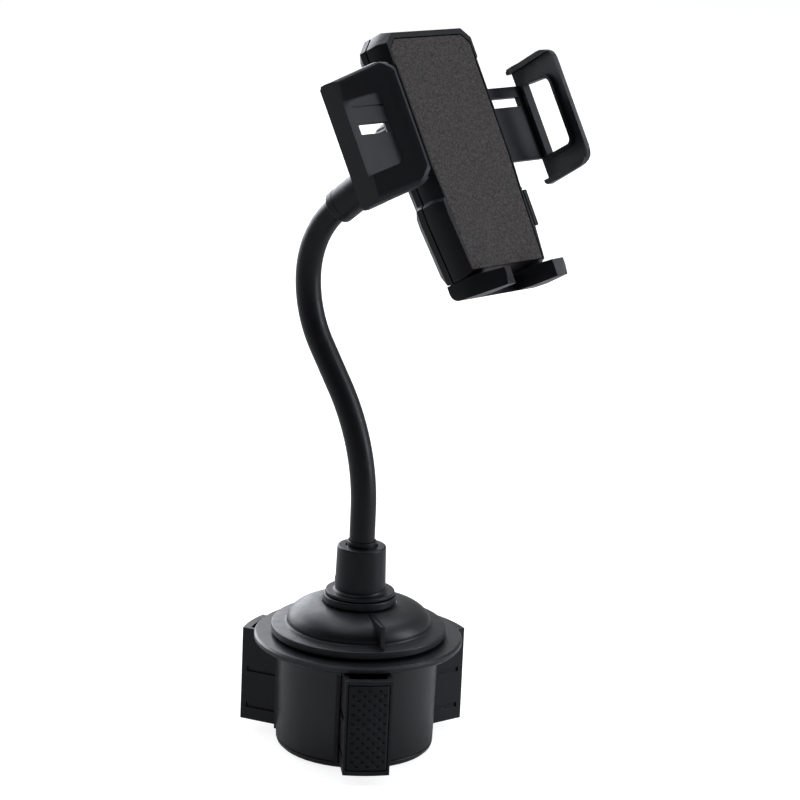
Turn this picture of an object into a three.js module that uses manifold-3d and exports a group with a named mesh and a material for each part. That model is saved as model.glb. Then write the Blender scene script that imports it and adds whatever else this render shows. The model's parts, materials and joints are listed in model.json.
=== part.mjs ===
// Phone mount that stands in a cup holder: an expanding cup base, a bendable neck and a sprung cradle.
// Millimetres, +Z up. The origin is the middle of the cup's bottom face. The cradle faces -Y.
import * as THREE from 'three';
import { mergeVertices } from 'three/addons/utils/BufferGeometryUtils.js';
import Module from 'manifold-3d';

const wasm = await Module();
wasm.setup();

// ---- driving dimensions -------------------------------------------------------------------------
const GAP = 0.3; // clearance between touching pieces

// cup
const CUP_R = 33;
const CUP_WALL = 2.2;
const CUP_FOOT_R = 32.4;
const RIM_R = 42.66;
const RIM_Z0 = 44.4;
const RIM_Z1 = 47.4;
const PLATE_T = 3.0;
const PLATE_EDGE_R = 2.8;
const POST_R = 4.6;
const POST_TOP = 72.6;
const SCREW_ANGLES = [-76, 44, 164];
const SCREW_CIRCLE = 26;

// wings
const WING_ANGLES = [-136, -16, 104];
const WING_W = 18.8;
const WING_Z0 = 4.2;
const WING_Z1 = 44.0;
const WING_FACE_R = 48.9;
const WING_INNER_R = 23.0;
const WING_SIDE_T = 1.8;
const WING_FRONT_T = 3.3;
const PIN_CIRCLE = 25.5;
const PIN_R = 1.5;

// dial
const SCROLL_Z0 = 45.2;
const SCROLL_Z1 = 47.4;
const SCROLL_R = 30.3;
const SCROLL_PITCH = 8.12; // wing travel in mm for each radian of the dial
const SCROLL_ARC = [-0.26, 2.12]; // radians of slot either side of the rest position
const DIAL_R = 35.8;
const FIN_ANGLE = -125;
const FIN_T = 1.8;

// neck socket and collar
const COLLAR_R = 14.9;
const RING_R = 14.15;
const SOCKET_TOP = 85.1;

// gooseneck: straight, bend, straight, bend back, bend forward, straight, all in the YZ plane
const NECK_R = 5.2;
const CORE_R = 3.3;
const NECK_Z0 = 74;
const NECK_PATH = [
  { length: 26.6 },
  { radius: 88, angle: 33.5 },
  { length: 18 },
  { radius: 50, angle: -33.5 },
  { radius: 39, angle: -50.8 },
  { length: 14 },
];
const NECK_JOINTS = [34, 69, 102, 134]; // distance of each bend joint along the neck
const CUP_SPHERE_R = 5.6;

// ball joint behind the cradle
const FERRULE_R = 7.1;
const FERRULE_LENGTH = 24;
const BALL_R = 7.0;
const BALL_DISTANCE = 42.7; // from the end of the last bend to the ball's centre
const LINER_R = [7.3, 8.7];
const SOCKET_R = 9.0;

// cradle, in its own axes: x across, y up the cradle, z out of its face, origin in the face pad
const CRADLE_TILT = 30;
const CRADLE_ROLL = -2.75;
const BALL_LOCAL = new THREE.Vector3(0, 10.3, -27);
const SEAM_Z = -8.85;
const BACK_Z = -16.5;
const LIP_Z = 1.2;
const TRAY_Z = -0.6;
const PAD_TOP = 1.0;
const SHELL_T = 1.8;
const ARM_TOP = 34.2;
const ARM_BOTTOM = -15.2;
const SLIDER_TOP = 26;
const LEFT_SLIDER_TOP = 31;
const SLIDER_BOTTOM = -4.8;
const PINION_Y = 10;
const PINION_PITCH_R = 3.6;
const PINION_TEETH = 12;
const SHELL_SCREWS = [[-17.6, 39.6], [17.6, 39.6], [-9, -42], [9, -42]];

// ---- materials ----------------------------------------------------------------------------------
function plastic(color, roughness) {
  return new THREE.MeshStandardMaterial({ color, roughness, metalness: 0 });
}

function metal(color, roughness) {
  return new THREE.MeshStandardMaterial({ color, roughness, metalness: 1 });
}

const GLOSS = () => plastic(0x1a1b20, 0.35);
const SATIN = () => plastic(0x202126, 0.55);
const RUBBER = () => plastic(0x17171a, 0.85);
const FOAM = () => plastic(0x3a3431, 0.95);
const NYLON = () => plastic(0xc9c4b5, 0.5);
const STEEL = () => metal(0x9a9ca0, 0.35);

// ---- solids -------------------------------------------------------------------------------------
function toSolid(geometry) {
  const bare = geometry.clone();
  bare.deleteAttribute('normal');
  bare.deleteAttribute('uv');
  const merged = mergeVertices(bare, 1e-4);
  const position = merged.attributes.position;
  const index = Array.from(merged.index.array);
  const kept = [];
  let volume = 0;
  const a = new THREE.Vector3();
  const b = new THREE.Vector3();
  const c = new THREE.Vector3();
  for (let i = 0; i < index.length; i += 3) {
    const [p, q, r] = index.slice(i, i + 3);
    if (p === q || q === r || r === p) continue;
    kept.push(p, q, r);
    a.fromBufferAttribute(position, p);
    b.fromBufferAttribute(position, q);
    c.fromBufferAttribute(position, r);
    volume += a.dot(b.cross(c));
  }
  const facing = volume < 0 ? kept.reverse() : kept;
  return new wasm.Manifold(new wasm.Mesh({
    numProp: 3,
    vertProperties: new Float32Array(position.array),
    triVerts: new Uint32Array(facing),
  }));
}

function toGeometry(solid) {
  const mesh = solid.getMesh();
  const geometry = new THREE.BufferGeometry();
  geometry.setAttribute('position', new THREE.BufferAttribute(new Float32Array(mesh.vertProperties), 3));
  geometry.setIndex(new THREE.BufferAttribute(new Uint32Array(mesh.triVerts), 1));
  geometry.computeVertexNormals();
  return geometry;
}

function joined(solids) {
  return solids.reduce((whole, next) => whole.add(next));
}

function cut(solid, tools) {
  return tools.reduce((rest, tool) => rest.subtract(tool), solid);
}

function block(x0, x1, y0, y1, z0, z1) {
  const geometry = new THREE.BoxGeometry(x1 - x0, y1 - y0, z1 - z0);
  geometry.translate((x0 + x1) / 2, (y0 + y1) / 2, (z0 + z1) / 2);
  return toSolid(geometry);
}

// A solid of revolution about Z from [radius, z] points. A closed outline off the axis repeats its start.
function turned(points, segments) {
  const outline = points.map(([r, z]) => new THREE.Vector2(r, z));
  const closed = points.every(([r]) => r > 0);
  if (closed) outline.push(outline[0].clone());
  const geometry = new THREE.LatheGeometry(outline, segments);
  geometry.rotateX(Math.PI / 2);
  return toSolid(geometry);
}

function rod(radius, z0, z1, x = 0, y = 0, segments = 16) {
  const solid = turned([[0, z0], [radius, z0], [radius, z1], [0, z1]], segments);
  return solid.translate([x, y, 0]);
}

function polygon(points) {
  return new THREE.Shape(points.map(([x, y]) => new THREE.Vector2(x, y)));
}

function prism(shape, z0, z1) {
  const geometry = new THREE.ExtrudeGeometry(shape, { depth: z1 - z0, bevelEnabled: false, curveSegments: 8 });
  geometry.translate(0, 0, z0);
  return toSolid(geometry);
}

// A prism whose own x, y and z axes lie along three given directions.
function prismAlong(shape, z0, z1, xAxis, yAxis, zAxis) {
  const geometry = new THREE.ExtrudeGeometry(shape, { depth: z1 - z0, bevelEnabled: false, curveSegments: 8 });
  geometry.translate(0, 0, z0);
  geometry.applyMatrix4(new THREE.Matrix4().makeBasis(xAxis, yAxis, zAxis));
  return toSolid(geometry);
}

function circleShape(radius, sides) {
  const points = [];
  for (let i = 0; i < sides; i += 1) {
    const angle = (2 * Math.PI * i) / sides;
    points.push([radius * Math.cos(angle), radius * Math.sin(angle)]);
  }
  return polygon(points);
}

function sweep(curve, radius, steps, sides) {
  const shape = circleShape(radius, sides);
  const geometry = new THREE.ExtrudeGeometry(shape, { steps, extrudePath: curve, bevelEnabled: false });
  return toSolid(geometry);
}

function ball(radius, centre, segments = 14) {
  const geometry = new THREE.SphereGeometry(radius, segments, segments / 2);
  geometry.translate(centre.x, centre.y, centre.z);
  return toSolid(geometry);
}

function arcPoints(cx, cy, radius, from, to, steps) {
  const points = [];
  for (let i = 0; i <= steps; i += 1) {
    const angle = THREE.MathUtils.degToRad(from + ((to - from) * i) / steps);
    points.push([cx + radius * Math.cos(angle), cy + radius * Math.sin(angle)]);
  }
  return points;
}

const group = new THREE.Group();

function piece(parent, name, solid, material) {
  const mesh = new THREE.Mesh(toGeometry(solid), material);
  mesh.name = name;
  parent.add(mesh);
  return mesh;
}

// ---- cup base -----------------------------------------------------------------------------------
function polar(radius, degrees) {
  const angle = THREE.MathUtils.degToRad(degrees);
  return [radius * Math.cos(angle), radius * Math.sin(angle)];
}

function cupHousing() {
  const inner = CUP_R - CUP_WALL;
  const wallFoot = PLATE_T + GAP;
  const wall = turned([
    [inner, wallFoot], [CUP_FOOT_R, wallFoot], [CUP_R, RIM_Z0],
    [RIM_R - 0.8, RIM_Z0], [RIM_R, RIM_Z0 + 0.8], [RIM_R, RIM_Z1 - 0.8], [RIM_R - 0.8, RIM_Z1],
    [inner, RIM_Z1],
  ], 48);
  const parts = [wall];
  const holes = [];
  const halfSlot = WING_W / 2 + GAP;
  for (const angle of WING_ANGLES) {
    for (const side of [-1, 1]) {
      const near = side * (halfSlot + 0.1);
      const far = side * (halfSlot + 1.7);
      const guide = block(21, inner + 0.6, Math.min(near, far), Math.max(near, far), wallFoot, 40);
      parts.push(guide.rotate([0, 0, angle]));
    }
    const slot = block(20, CUP_R + 2, -halfSlot, halfSlot, PLATE_T, WING_Z1 + GAP - 0.1);
    holes.push(slot.rotate([0, 0, angle]));
  }
  for (const angle of SCREW_ANGLES) {
    const boss = rod(3.4, wallFoot, 16, SCREW_CIRCLE, 0);
    const web = block(SCREW_CIRCLE, inner + 0.6, -1.2, 1.2, wallFoot, 16);
    parts.push(boss.add(web).rotate([0, 0, angle]));
    holes.push(rod(1.6, PLATE_T, 13, SCREW_CIRCLE, 0, 12).rotate([0, 0, angle]));
  }
  return cut(joined(parts), holes);
}

function cupBottomPlate() {
  const edge = arcPoints(CUP_FOOT_R - PLATE_EDGE_R, PLATE_EDGE_R, PLATE_EDGE_R, -90, 0, 3);
  const disc = turned([[0, 0], ...edge, [CUP_FOOT_R, PLATE_T], [0, PLATE_T]], 48);
  const holes = SCREW_ANGLES.flatMap((angle) => {
    const through = rod(1.6, -1, PLATE_T + 1, SCREW_CIRCLE, 0, 12);
    const recess = rod(3.0, -1, 1.4, SCREW_CIRCLE, 0);
    return [through.rotate([0, 0, angle]), recess.rotate([0, 0, angle])];
  });
  return cut(disc, holes);
}

function bottomScrew() {
  return turned([[0, 0.2], [2.6, 0.2], [2.6, 1.1], [1.3, 1.1], [1.3, 12.4], [0, 12.4]], 10);
}

function centrePost() {
  const foot = PLATE_T + GAP;
  return turned([
    [2.5, foot], [6.6, foot], [6.6, foot + 2], [POST_R, foot + 2], [POST_R, POST_TOP], [2.5, POST_TOP],
  ], 16);
}

function wingOutline(outerRadius, halfWidth, innerX) {
  const half = THREE.MathUtils.radToDeg(Math.asin(halfWidth / outerRadius));
  return polygon([[innerX, halfWidth], [innerX, -halfWidth], ...arcPoints(0, 0, outerRadius, -half, half, 6)]);
}

function wing() {
  const half = WING_W / 2;
  const body = prism(wingOutline(WING_FACE_R, half, WING_INNER_R), WING_Z0, WING_Z1);
  const hollow = prism(
    wingOutline(WING_FACE_R - WING_FRONT_T, half - WING_SIDE_T, WING_INNER_R - 2),
    WING_Z0 + WING_SIDE_T,
    WING_Z1 + 1,
  );
  const bar = block(WING_INNER_R, WING_INNER_R + 5, -half + 1, half - 1, 40, WING_Z1);
  const padRing = cut(
    prism(wingOutline(WING_FACE_R + 3, half - 1.0, WING_INNER_R), WING_Z0 + 2.0, WING_Z1 - 1.6),
    [prism(wingOutline(WING_FACE_R - 1.3, half + 1, WING_INNER_R - 1), WING_Z0, WING_Z1)],
  );
  const grooves = [];
  for (const side of [-1, 1]) {
    for (const z of [10.6, 26.4]) {
      const y0 = side > 0 ? half - 0.8 : -half - 1;
      grooves.push(block(CUP_R - 4, WING_FACE_R - 3.4, y0, y0 + 1.8, z - 1, z + 1));
    }
  }
  const pinHole = rod(PIN_R + GAP, 30, 50, PIN_CIRCLE, 0);
  return cut(body.subtract(hollow).add(bar), [padRing, pinHole, ...grooves]);
}

function wingPad() {
  const half = WING_W / 2 - 1.0 - GAP;
  const outer = prism(wingOutline(WING_FACE_R + 0.4, half, WING_INNER_R), WING_Z0 + 2.3, WING_Z1 - 1.9);
  return outer.subtract(prism(wingOutline(WING_FACE_R - 1.0, half + 2, WING_INNER_R - 1), 0, 60));
}

function wingPin() {
  return turned([[0, 38.4], [2.4, 38.4], [2.4, 39.7], [PIN_R, 39.7], [PIN_R, 47.1], [0, 47.1]], 12)
    .translate([PIN_CIRCLE, 0, 0]);
}

// ---- dial ---------------------------------------------------------------------------------------
function scrollPlate() {
  const disc = turned([
    [POST_R + GAP, SCROLL_Z0], [SCROLL_R, SCROLL_Z0], [SCROLL_R, SCROLL_Z1], [POST_R + GAP, SCROLL_Z1],
  ], 32);
  const halfSlot = PIN_R + GAP;
  const steps = 14;
  const outer = [];
  const inner = [];
  for (let i = 0; i <= steps; i += 1) {
    const turn = SCROLL_ARC[0] + ((SCROLL_ARC[1] - SCROLL_ARC[0]) * i) / steps;
    const r = PIN_CIRCLE - SCROLL_PITCH * turn;
    const radial = new THREE.Vector2(Math.cos(-turn), Math.sin(-turn));
    const tangent = new THREE.Vector2(
      -SCROLL_PITCH * radial.x + r * radial.y,
      -SCROLL_PITCH * radial.y - r * radial.x,
    ).normalize();
    const normal = new THREE.Vector2(-tangent.y, tangent.x);
    outer.push([r * radial.x + normal.x * halfSlot, r * radial.y + normal.y * halfSlot]);
    inner.unshift([r * radial.x - normal.x * halfSlot, r * radial.y - normal.y * halfSlot]);
  }
  const slot = prism(polygon([...outer, ...inner]), SCROLL_Z0 - 1, SCROLL_Z1 + 1);
  return cut(disc, WING_ANGLES.map((angle) => slot.rotate([0, 0, angle])));
}

function dialDome() {
  const bore = POST_R + GAP;
  const dome = turned([
    [bore, SCROLL_Z1 + GAP], [8.2, SCROLL_Z1 + GAP], [8.2, 57.5], [14, 57.6], [22, 55.4], [26.5, 52.4], [28, 49.8],
    [31.5, 48.5], [DIAL_R - 0.5, 48.5], [DIAL_R, 49.0], [DIAL_R, 50.9], [DIAL_R - 0.6, 51.5], [30.2, 52.1],
    [29.6, 52.6], [29.5, 54.2], [28.2, 56.4], [25.5, 58.5], [21.5, 60.0], [17.5, 60.8], [COLLAR_R + 0.2, 61.0],
    [COLLAR_R - 0.9, 60.3], [bore, 60.3],
  ], 40);
  const fins = [0, 180].map((turn) => {
    const profile = polygon([[16, 58], [16, 61.3], [32.6, 61.5], [33.6, 60.6], [33.6, 51.4], [24, 51.4]]);
    const upright = prismAlong(
      profile, -FIN_T / 2, FIN_T / 2,
      new THREE.Vector3(1, 0, 0), new THREE.Vector3(0, 0, 1), new THREE.Vector3(0, -1, 0),
    );
    return upright.rotate([0, 0, FIN_ANGLE + turn]);
  });
  const below = turned([
    [bore - 1, 40], [8.2, 40], [8.2, 57.5], [14, 57.6], [22, 55.4], [26.5, 52.4], [28, 49.8], [31.5, 48.5],
    [DIAL_R + 2, 48.5], [DIAL_R + 2, 40],
  ], 40);
  return dome.add(joined(fins).subtract(below));
}

function thrustWasher() {
  return turned([[POST_R + GAP, 60.6], [11, 60.6], [11, 60.9], [POST_R + GAP, 60.9]], 20);
}

function collarRing() {
  const bore = POST_R + GAP;
  return turned([
    [bore, 61.2], [COLLAR_R - 0.4, 61.2], [COLLAR_R, 61.6], [COLLAR_R, 64.1], [COLLAR_R - 0.4, 64.5], [bore, 64.5],
  ], 28);
}

function neckSocket() {
  const postBore = POST_R + GAP;
  return turned([
    [postBore, 64.8], [RING_R - 0.3, 64.8], [RING_R, 65.1], [RING_R, 65.7], [RING_R - 0.5, 66.2], [10.9, 66.3],
    [10.2, 66.9], [10.4, 67.6], [9.95, SOCKET_TOP - 0.6], [9.4, SOCKET_TOP], [6.7, SOCKET_TOP], [6.7, 73.2],
    [postBore, 73.2],
  ], 24);
}

function lowerFerrule() {
  return turned([
    [NECK_R + GAP, 75], [6.4, 75], [6.4, 84.6], [6.0, 84.9], [6.0, 86.8], [5.8, 87.3], [NECK_R + GAP, 87.3],
  ], 20);
}

// ---- gooseneck ----------------------------------------------------------------------------------
// The neck's middle line: position and direction at a distance along it. Angles lean towards +Y.
function neckAt(distance) {
  let y = 0;
  let z = NECK_Z0;
  let lean = 0;
  let left = distance;
  for (const leg of NECK_PATH) {
    const isArc = leg.radius !== undefined;
    const turn = isArc ? THREE.MathUtils.degToRad(leg.angle) : 0;
    const length = isArc ? leg.radius * Math.abs(turn) : leg.length;
    const used = Math.min(left, length);
    if (isArc) {
      const side = Math.sign(turn);
      const swept = (used / leg.radius) * side;
      y += side * leg.radius * (Math.cos(lean) - Math.cos(lean + swept));
      z += side * leg.radius * (Math.sin(lean + swept) - Math.sin(lean));
      lean += swept;
    } else {
      y += used * Math.sin(lean);
      z += used * Math.cos(lean);
    }
    left -= used;
    if (left <= 1e-9) break;
  }
  const point = new THREE.Vector3(0, y, z);
  const direction = new THREE.Vector3(0, Math.sin(lean), Math.cos(lean));
  return { point: point.addScaledVector(direction, left), direction };
}

class NeckStretch extends THREE.Curve {
  constructor(from, to) {
    super();
    this.from = from;
    this.to = to;
  }

  getPoint(t, target = new THREE.Vector3()) {
    return target.copy(neckAt(this.from + (this.to - this.from) * t).point);
  }
}

const NECK_LENGTH = NECK_PATH.reduce((sum, leg) => {
  const arc = leg.radius ? leg.radius * Math.abs(THREE.MathUtils.degToRad(leg.angle)) : 0;
  return sum + (leg.length ?? arc);
}, 0);

function neckSpans() {
  const stops = [0, ...NECK_JOINTS, NECK_LENGTH];
  return stops.slice(1).map((to, i) => [stops[i], to]);
}

// One link: its far end is a ball, and its near end a hollow that the ball before it sits in.
function neckLink(from, to, isFirst, isLast) {
  const reach = isFirst ? 0 : 1.0;
  let solid = sweep(new NeckStretch(from + reach, to), NECK_R, 6, 16);
  if (!isLast) solid = solid.add(ball(NECK_R, neckAt(to).point));
  if (!isFirst) solid = solid.subtract(ball(CUP_SPHERE_R, neckAt(from).point));
  const extra = 8;
  const start = isFirst ? -2 : from - extra;
  return solid.subtract(sweep(new NeckStretch(start, to + extra), CORE_R + GAP, 8, 8));
}

function neckCore(from, to, isFirst, isLast) {
  const start = isFirst ? from + 0.3 : from + 5.7;
  const end = isLast ? to - 0.3 : to - 1.5;
  return sweep(new NeckStretch(start, end), CORE_R, 6, 8);
}

// ---- ball joint ---------------------------------------------------------------------------------
function upperFerrule() {
  const bore = NECK_R + GAP;
  return turned([
    [bore, 0], [FERRULE_R - 0.5, 0], [FERRULE_R, 0.5], [FERRULE_R, FERRULE_LENGTH - 1.5],
    [FERRULE_R - 1.5, FERRULE_LENGTH], [3.3, FERRULE_LENGTH], [3.3, 15.5], [bore, 14.4],
  ], 20);
}

function ballStud() {
  const neck = 3.0;
  const reach = Math.sqrt(BALL_R ** 2 - neck ** 2);
  const start = THREE.MathUtils.radToDeg(Math.atan2(-reach, neck));
  return turned([[0, 16], [neck, 16], ...arcPoints(0, BALL_DISTANCE, BALL_R, start, 80, 7), [0, BALL_DISTANCE + BALL_R]],
    16);
}

// A ring of a hollow sphere about Z between two angles from +Z.
function sphereRing(inner, outer, from, to, steps) {
  const outside = arcPoints(0, 0, outer, 90 - from, 90 - to, steps);
  const inside = arcPoints(0, 0, inner, 90 - to, 90 - from, steps);
  return turned([...outside, ...inside], 16);
}

function ballSocket() {
  const bowl = arcPoints(0, 0, SOCKET_R, 0, 80, 5).map(([r, z]) => [r, z]);
  const outline = [
    [0, 12.1], [6.0, 12.1], [6.0, 10.2], [13, 10.2], [13, 8.6], [11.2, 8.2], [11.2, 0.2], [SOCKET_R, 0.2],
    ...bowl.filter(([, z]) => z > 0.4), [0, SOCKET_R],
  ];
  return turned(outline, 20);
}

function lockingNut() {
  const lip = arcPoints(0, 0, SOCKET_R, -34, 0, 3);
  return turned([
    [7.9, -5.5], [12.8, -5.5], [14, -4.4], [14, 6.9], [13.2, 7.6], [11.5, 7.6], [11.5, 0], ...lip.reverse(),
  ], 24);
}

// ---- cradle -------------------------------------------------------------------------------------
function mirrored(points) {
  return [...points, ...points.map(([x, y]) => [-x, y]).reverse()];
}

const SHELL_OUTLINE = mirrored([
  [22.2, 51.0], [27.6, 46.2], [27.6, 36.9], [26.7, 35.9], [26.6, -4], [25.6, -16.6], [27, -18], [27, -24], [24.2, -48.4],
]);
const CAVITY_OUTLINE = mirrored([
  [21.4, 49.2], [25.6, 45.4], [25.6, 37.6], [24.6, 36.6], [24.6, -4], [23.8, -18.2], [24.6, -19.5], [24.6, -24],
  [22.3, -46.8],
]);

function traySpan(inset) {
  return mirrored([
    [20.7 - inset * 0.4, 47.3 - inset], [24.9 - inset, 43.5 - inset * 0.4], [24.9 - inset, 36.9],
    [24.5 - inset, 35.9], [24.4 - inset, -4], [23.4 - inset, -17], [22.4 - inset, -46.9 + inset],
  ]);
}

function bevelledPlate(outline, z0, z1, rise, inset) {
  const shape = polygon(outline);
  const geometry = new THREE.ExtrudeGeometry(shape, {
    depth: z1 - z0 - 2 * rise,
    bevelEnabled: true,
    bevelThickness: rise,
    bevelSize: inset,
    bevelOffset: -inset,
    bevelSegments: 1,
  });
  geometry.translate(0, 0, z0 + rise);
  return toSolid(geometry);
}

function sideSlots(z0, z1, leftTop = SLIDER_TOP) {
  const y0 = SLIDER_BOTTOM - 0.4;
  return [block(22, 30, y0, SLIDER_TOP + 0.4, z0, z1), block(-30, -22, y0, leftTop + 0.4, z0, z1)];
}

function frontShell() {
  const z0 = SEAM_Z + GAP / 2;
  const whole = bevelledPlate(SHELL_OUTLINE, -12, LIP_Z, 4.2, 1.5);
  const shell = whole.intersect(block(-40, 40, -60, 60, z0, 5));
  const cavity = prism(polygon(CAVITY_OUTLINE), z0 - 1, -3.3);
  const tray = prism(polygon(traySpan(0)), TRAY_Z, 2);
  const bosses = SHELL_SCREWS.map(([x, y]) => rod(2.6, z0, -3, x, y, 12));
  const holes = SHELL_SCREWS.map(([x, y]) => rod(1.2, z0 - 1, -4.2, x, y, 10));
  const tongues = [-1, 1].map((side) => block(side * 17 - 3.4, side * 17 + 3.4, -50, -45, z0 - 1, -5.9));
  const buttonGaps = [
    block(22.4, 30, -33.3, -17.9, z0 - 1, -3.3),
    block(24.2, 30, -33.3, -17.9, -3.4, 2),
  ];
  const hollow = cut(shell, [cavity, tray]);
  return cut(joined([hollow, ...bosses]), [...holes, ...sideSlots(z0 - 1, -5.2), ...sideSlots(z0 - 1, -7.6, LEFT_SLIDER_TOP), ...tongues, ...buttonGaps]);
}

function backShell() {
  const z1 = SEAM_Z - GAP / 2;
  const whole = bevelledPlate(SHELL_OUTLINE, BACK_Z, -4, 4.8, 4.6);
  const shell = whole.intersect(block(-40, 40, -60, 60, BACK_Z - 1, z1));
  const cavity = bevelledPlate(CAVITY_OUTLINE, BACK_Z + SHELL_T, -2, 3.4, 3.4).intersect(block(-40, 40, -60, 60, -20, z1 + 1));
  const bosses = SHELL_SCREWS.map(([x, y]) => rod(3.2, BACK_Z + 1, z1, x, y, 14));
  const holes = SHELL_SCREWS.flatMap(([x, y]) => [
    rod(1.2, BACK_Z - 1, z1 + 1, x, y, 10),
    rod(2.4, BACK_Z - 1, BACK_Z + 2.5, x, y, 14),
  ]);
  const socketHole = rod(6.3, BACK_Z - 1, BACK_Z + 3, 0, BALL_LOCAL.y, 24);
  const hollow = cut(shell, [cavity]);
  return cut(joined([hollow, ...bosses]), [...holes, socketHole, ...sideSlots(-10.4, z1 + 1, LEFT_SLIDER_TOP)]);
}

function facePad() {
  return prism(polygon(traySpan(GAP)), TRAY_Z + GAP, PAD_TOP);
}

function shellScrew() {
  return turned([[0, -16.3], [2.1, -16.3], [2.1, -14.5], [0.9, -14.5], [0.9, -4.6], [0, -4.6]], 12);
}

function rackTeeth(pitch, isTop, z0, z1) {
  const teeth = [];
  const rootY = isTop ? PINION_Y + 4.4 : PINION_Y - 4.4;
  const tipY = isTop ? PINION_Y + 3.1 : PINION_Y - 3.1;
  const baseY = isTop ? rootY + 0.3 : rootY - 0.3;
  for (let k = 0; k <= 12; k += 1) {
    const x = (k + 0.5) * pitch;
    const left = [[x - 0.42, baseY], [x - 0.42, rootY], [x - 0.16, tipY]];
    const right = [[x + 0.16, tipY], [x + 0.42, rootY], [x + 0.42, baseY]];
    const outline = [...left, ...right];
    teeth.push(prism(polygon(outline), z0, z1));
  }
  return teeth;
}

// The arm on +x: a curved claw wall with turned-in rims and a framed window, moulded in one with its
// toothed slider plate.
function armSolid(sliderZ0, sliderZ1, rackIsTop, slotY0, slotY1, back, sliderTop = SLIDER_TOP) {
  const along = [new THREE.Vector3(1, 0, 0), new THREE.Vector3(0, 0, 1), new THREE.Vector3(0, -1, 0)];
  const sideways = [new THREE.Vector3(0, 0, 1), new THREE.Vector3(0, 1, 0), new THREE.Vector3(-1, 0, 0)];
  const skin = polygon([
    [58.0, back.wall], [58.2, -4.9], [58.2, -1.0], [53.4, 15.6], [52.6, 17.8], [51.2, 19.4], [49.4, 18.9], [50.2, 17.6],
    [55.9, -1.3], [55.9, back.wall],
  ]);
  const deep = polygon([
    [back.lip + 2.2, back.rim], [58.0, back.rim + 1.6], [58.2, -4.9], [58.2, -1.0], [53.4, 15.6], [52.6, 17.8],
    [51.2, 19.4], [49.4, 18.9], [49.0, 17.6], [53.7, -1.3], [53.7, -4.6], [back.lip, back.rim + 1.6], [back.lip, back.rim],
  ]);
  const wall = prismAlong(skin, -ARM_TOP + 1, -ARM_BOTTOM - 1, ...along);
  const rims = [[ARM_BOTTOM, ARM_BOTTOM + 2.2], [ARM_TOP - 2.2, ARM_TOP]].map(([y0, y1]) =>
    prismAlong(deep, -y1, -y0, ...along));
  const corner = 9;
  const sideView = polygon([
    [back.rim, ARM_BOTTOM + 1], [back.rim + 1, ARM_BOTTOM],
    ...arcPoints(19.9 - corner, ARM_BOTTOM + corner, corner, -90, 0, 6),
    ...arcPoints(19.9 - corner, ARM_TOP - corner, corner, 0, 90, 6),
    [back.rim + 1, ARM_TOP], [back.rim, ARM_TOP - 1],
  ]);
  const frameView = polygon([
    [-4.4, -6.0], ...arcPoints(9.6, -2.4, 3.8, -90, 0, 4), ...arcPoints(8.6, 20.2, 4.8, 0, 90, 4), [-4.4, 26.6],
  ]);
  const windowView = polygon([
    [-2.9, -4.6], ...arcPoints(9.6, -2.4, 2.4, -90, 0, 4), ...arcPoints(8.6, 20.2, 3.4, 0, 90, 4), [-2.9, 25.2],
  ]);
  const frame = prismAlong(deep, -26.7, 6.1, ...along).intersect(prismAlong(frameView, -66, -40, ...sideways));
  const faceOut = new THREE.Vector3(0.9604, 0, 0.2786);
  const edgeView = polygon([
    [35, ARM_BOTTOM], [53.4, ARM_BOTTOM], [54.6, ARM_BOTTOM + 0.5], [55.4, ARM_BOTTOM + 1.5], [55.7, ARM_BOTTOM + 2.9],
    [55.7, ARM_TOP - 2.9], [55.4, ARM_TOP - 1.5], [54.6, ARM_TOP - 0.5], [53.4, ARM_TOP], [35, ARM_TOP],
  ]);
  const rounded = prismAlong(edgeView, -40, 20, faceOut, new THREE.Vector3(0, 1, 0), new THREE.Vector3(-0.2786, 0, 0.9604));
  const shell = joined([wall, ...rims]).intersect(rounded).intersect(prismAlong(sideView, -66, -40, ...sideways));
  const whole = shell.add(frame);
  const windowed = whole.subtract(prismAlong(windowView, -66, -40, ...sideways));
  const plate = block(-2.5, 56.2, SLIDER_BOTTOM, SLIDER_TOP, sliderZ0, sliderZ1);
  const pitch = (2 * Math.PI * PINION_PITCH_R) / PINION_TEETH;
  const forkY0 = rackIsTop ? PINION_Y - 4.6 : PINION_Y - 4.4;
  const forkY1 = rackIsTop ? PINION_Y + 4.4 : PINION_Y + 4.6;
  const fork = block(-4, 26.8, forkY0, forkY1, sliderZ0 - 1, sliderZ1 + 1);
  const slot = block(29.5, 52.2, slotY0, slotY1, sliderZ0 - 1, sliderZ1 + 1);
  const outer = sliderTop > SLIDER_TOP
    ? [block(28.6, 56.2, SLIDER_TOP - 0.5, sliderTop, sliderZ0, sliderZ1)]
    : [];
  const groove = block(29.5, 54, 23.9, 24.6, sliderZ1 - 0.6, sliderZ1 + 1);
  const cuts = sliderTop > SLIDER_TOP ? [fork, slot, groove] : [fork, slot];
  const slider = joined([cut(plate, cuts), ...outer, ...rackTeeth(pitch, rackIsTop, sliderZ0, sliderZ1)]);
  return windowed.add(slider);
}

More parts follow.
